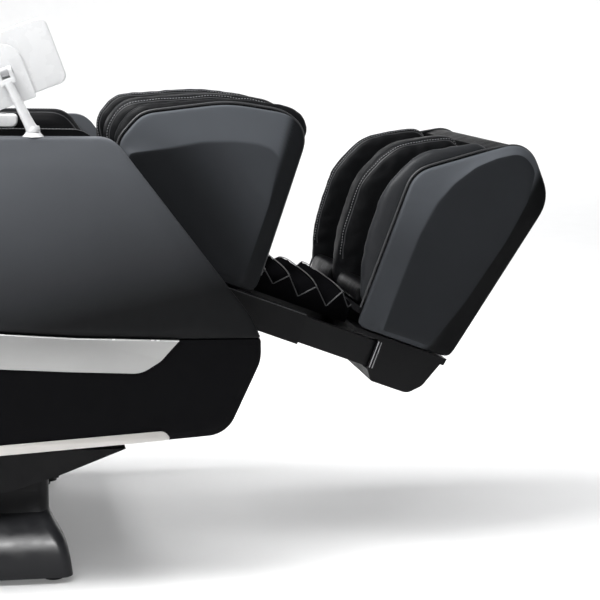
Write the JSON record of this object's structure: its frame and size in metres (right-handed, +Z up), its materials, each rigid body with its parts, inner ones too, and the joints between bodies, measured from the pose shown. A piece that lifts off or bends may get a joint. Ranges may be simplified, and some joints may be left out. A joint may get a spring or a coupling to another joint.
{
  "type": "massage chair",
  "caption": "Reclining massage chair with a tilting body, a raised legrest, a sliding footrest, a travelling roller carriage and a tablet remote on a stalk.",
  "frame": {"origin": "on the floor, below the middle of the chair's length and width, in the reclined pose with the footrest drawn out", "axes": "+Z up, +X towards the feet, +Y to the sitter's left"},
  "size_m": [1.9415, 0.78, 0.9841],
  "materials": {
    "charcoal_shell": "satin",
    "black_shell": "satin",
    "gloss_shell": "gloss",
    "seat_foam": "satin",
    "silver_trim": "satin",
    "champagne_trim": "satin",
    "white_plastic": "gloss",
    "black_steel": "satin",
    "black_rubber": "matte",
    "grey_plastic": "matte",
    "bellows_fabric": "matte"
  },
  "bodies": {
    "base": {"base_frame": "black_steel", "base_cover": "gloss_shell", "foot_front_r": "black_rubber", "foot_front_l": "black_rubber", "foot_rear_r": "black_rubber", "foot_rear_l": "black_rubber", "power_box": "black_shell", "tilt_motor": "black_steel"},
    "power_switch": {"power_switch": "gloss_shell"},
    "wheel_r": {"wheel_r": "black_rubber"},
    "wheel_l": {"wheel_l": "black_rubber"},
    "seat": {"seat_frame": "black_steel", "seat_cushion": "seat_foam", "side_shell_r": "charcoal_shell", "side_shell_l": "charcoal_shell", "side_lower_r": "black_shell", "side_lower_l": "black_shell", "wide_trim_r": "silver_trim", "wide_trim_l": "silver_trim", "low_trim_r": "champagne_trim", "low_trim_l": "champagne_trim", "arm_pad_r": "seat_foam", "arm_pad_l": "seat_foam", "belly_cover": "black_shell", "control_pod": "white_plastic", "leg_motor": "black_steel", "back_motor": "black_steel", "remote_socket": "white_plastic"},
    "pod_button": {"pod_button": "grey_plastic"},
    "backrest": {"back_frame": "black_steel", "back_shell": "black_shell", "back_cushion": "seat_foam", "shoulder_wing_r": "charcoal_shell", "shoulder_wing_l": "charcoal_shell"},
    "head_pillow": {"head_pillow": "seat_foam"},
    "carriage": {"carriage": "black_steel"},
    "roller_arm_r": {"roller_arm_r": "grey_plastic"},
    "roller_arm_l": {"roller_arm_l": "grey_plastic"},
    "roller_low_r": {"roller_low_r": "black_rubber"},
    "roller_high_r": {"roller_high_r": "black_rubber"},
    "roller_low_l": {"roller_low_l": "black_rubber"},
    "roller_high_l": {"roller_high_l": "black_rubber"},
    "legrest": {"leg_frame": "black_steel", "calf_shell_r": "charcoal_shell", "calf_shell_l": "charcoal_shell", "calf_tray": "black_shell", "calf_liner": "seat_foam", "bellows": "bellows_fabric"},
    "footrest": {"foot_rails": "black_steel", "foot_shell_r": "charcoal_shell", "foot_shell_l": "charcoal_shell", "foot_housing": "black_shell", "foot_liner": "seat_foam", "foot_base": "black_shell"},
    "sole_roller": {"sole_roller": "black_rubber"},
    "remote_stalk": {"remote_stalk": "white_plastic"},
    "remote_holder": {"remote_holder": "white_plastic"},
    "tablet": {"tablet": "white_plastic"}
  },
  "joints": [
    {"name": "body_tilt", "type": "hinge", "parent": "base", "child": "seat", "pos_m": [-0.12, 0, 0.3], "axis": [0, -1, 0], "range_deg": [0, 20]},
    {"name": "switch_rock", "type": "hinge", "parent": "base", "child": "power_switch", "pos_m": [-0.6275, 0.03, 0.065], "axis": [0, 1, 0], "range_deg": [0, 12]},
    {"name": "wheel_spin_r", "type": "hinge", "parent": "base", "child": "wheel_r", "pos_m": [-0.5, -0.265, 0.0255], "axis": [0, 1, 0], "continuous": true},
    {"name": "wheel_spin_l", "type": "hinge", "parent": "base", "child": "wheel_l", "pos_m": [-0.5, 0.265, 0.0255], "axis": [0, 1, 0], "continuous": true},
    {"name": "pod_button_press", "type": "slide", "parent": "seat", "child": "pod_button", "axis": [0, 0, -1], "range_m": [0, 0.0015], "stiffness_N_per_m": 300, "springref_m": -0.001},
    {"name": "back_recline", "type": "hinge", "parent": "seat", "child": "backrest", "pos_m": [-0.22, 0, 0.42], "axis": [0, 1, 0], "range_deg": [-15, 40]},
    {"name": "pillow_flip", "type": "hinge", "parent": "backrest", "child": "head_pillow", "pos_m": [-0.87706, 0, 0.96794], "axis": [0, -1, 0], "range_deg": [0, 150]},
    {"name": "massage_travel", "type": "slide", "parent": "backrest", "child": "carriage", "axis": [-0.866, 0, 0.5], "range_m": [-0.06, 0.38]},
    {"name": "knead_r", "type": "hinge", "parent": "carriage", "child": "roller_arm_r", "pos_m": [-0.40419, -0.045, 0.56098], "axis": [0, 1, 0], "range_deg": [-12, 12]},
    {"name": "knead_l", "type": "hinge", "parent": "carriage", "child": "roller_arm_l", "pos_m": [-0.40419, 0.045, 0.56098], "axis": [0, 1, 0], "range_deg": [-12, 12]},
    {"name": "roller_spin_low_r", "type": "hinge", "parent": "roller_arm_r", "child": "roller_low_r", "pos_m": [-0.34755, -0.0665, 0.54907], "axis": [0, 1, 0], "continuous": true},
    {"name": "roller_spin_high_r", "type": "hinge", "parent": "roller_arm_r", "child": "roller_high_r", "pos_m": [-0.44282, -0.0665, 0.60407], "axis": [0, 1, 0], "continuous": true},
    {"name": "roller_spin_low_l", "type": "hinge", "parent": "roller_arm_l", "child": "roller_low_l", "pos_m": [-0.34755, 0.0665, 0.54907], "axis": [0, 1, 0], "continuous": true},
    {"name": "roller_spin_high_l", "type": "hinge", "parent": "roller_arm_l", "child": "roller_high_l", "pos_m": [-0.44282, 0.0665, 0.60407], "axis": [0, 1, 0], "continuous": true},
    {"name": "leg_lift", "type": "hinge", "parent": "seat", "child": "legrest", "pos_m": [0.26, 0, 0.47], "axis": [0, 1, 0], "range_deg": [-8, 70]},
    {"name": "foot_extend", "type": "slide", "parent": "legrest", "child": "footrest", "axis": [0.9397, 0, -0.342], "range_m": [-0.15, 0], "deforming": ["bellows"]},
    {"name": "sole_roller_spin", "type": "hinge", "parent": "footrest", "child": "sole_roller", "pos_m": [0.84279, 0, 0.47072], "axis": [0, 1, 0], "continuous": true},
    {"name": "remote_swivel", "type": "hinge", "parent": "seat", "child": "remote_stalk", "pos_m": [0.082, -0.358, 0.754], "axis": [0, 0, 1], "range_deg": [-60, 60]},
    {"name": "remote_tilt", "type": "hinge", "parent": "remote_stalk", "child": "remote_holder", "pos_m": [0.038, -0.358, 0.846], "axis": [0.9336, 0, 0.3584], "range_deg": [0, 35]},
    {"name": "tablet_lift", "type": "slide", "parent": "remote_holder", "child": "tablet", "axis": [-0.3584, 0, 0.9336], "range_m": [0, 0.1]}
  ],
  "couplings": [
    {"joint": "knead_l", "follows": "knead_r", "ratio": -1}
  ]
}
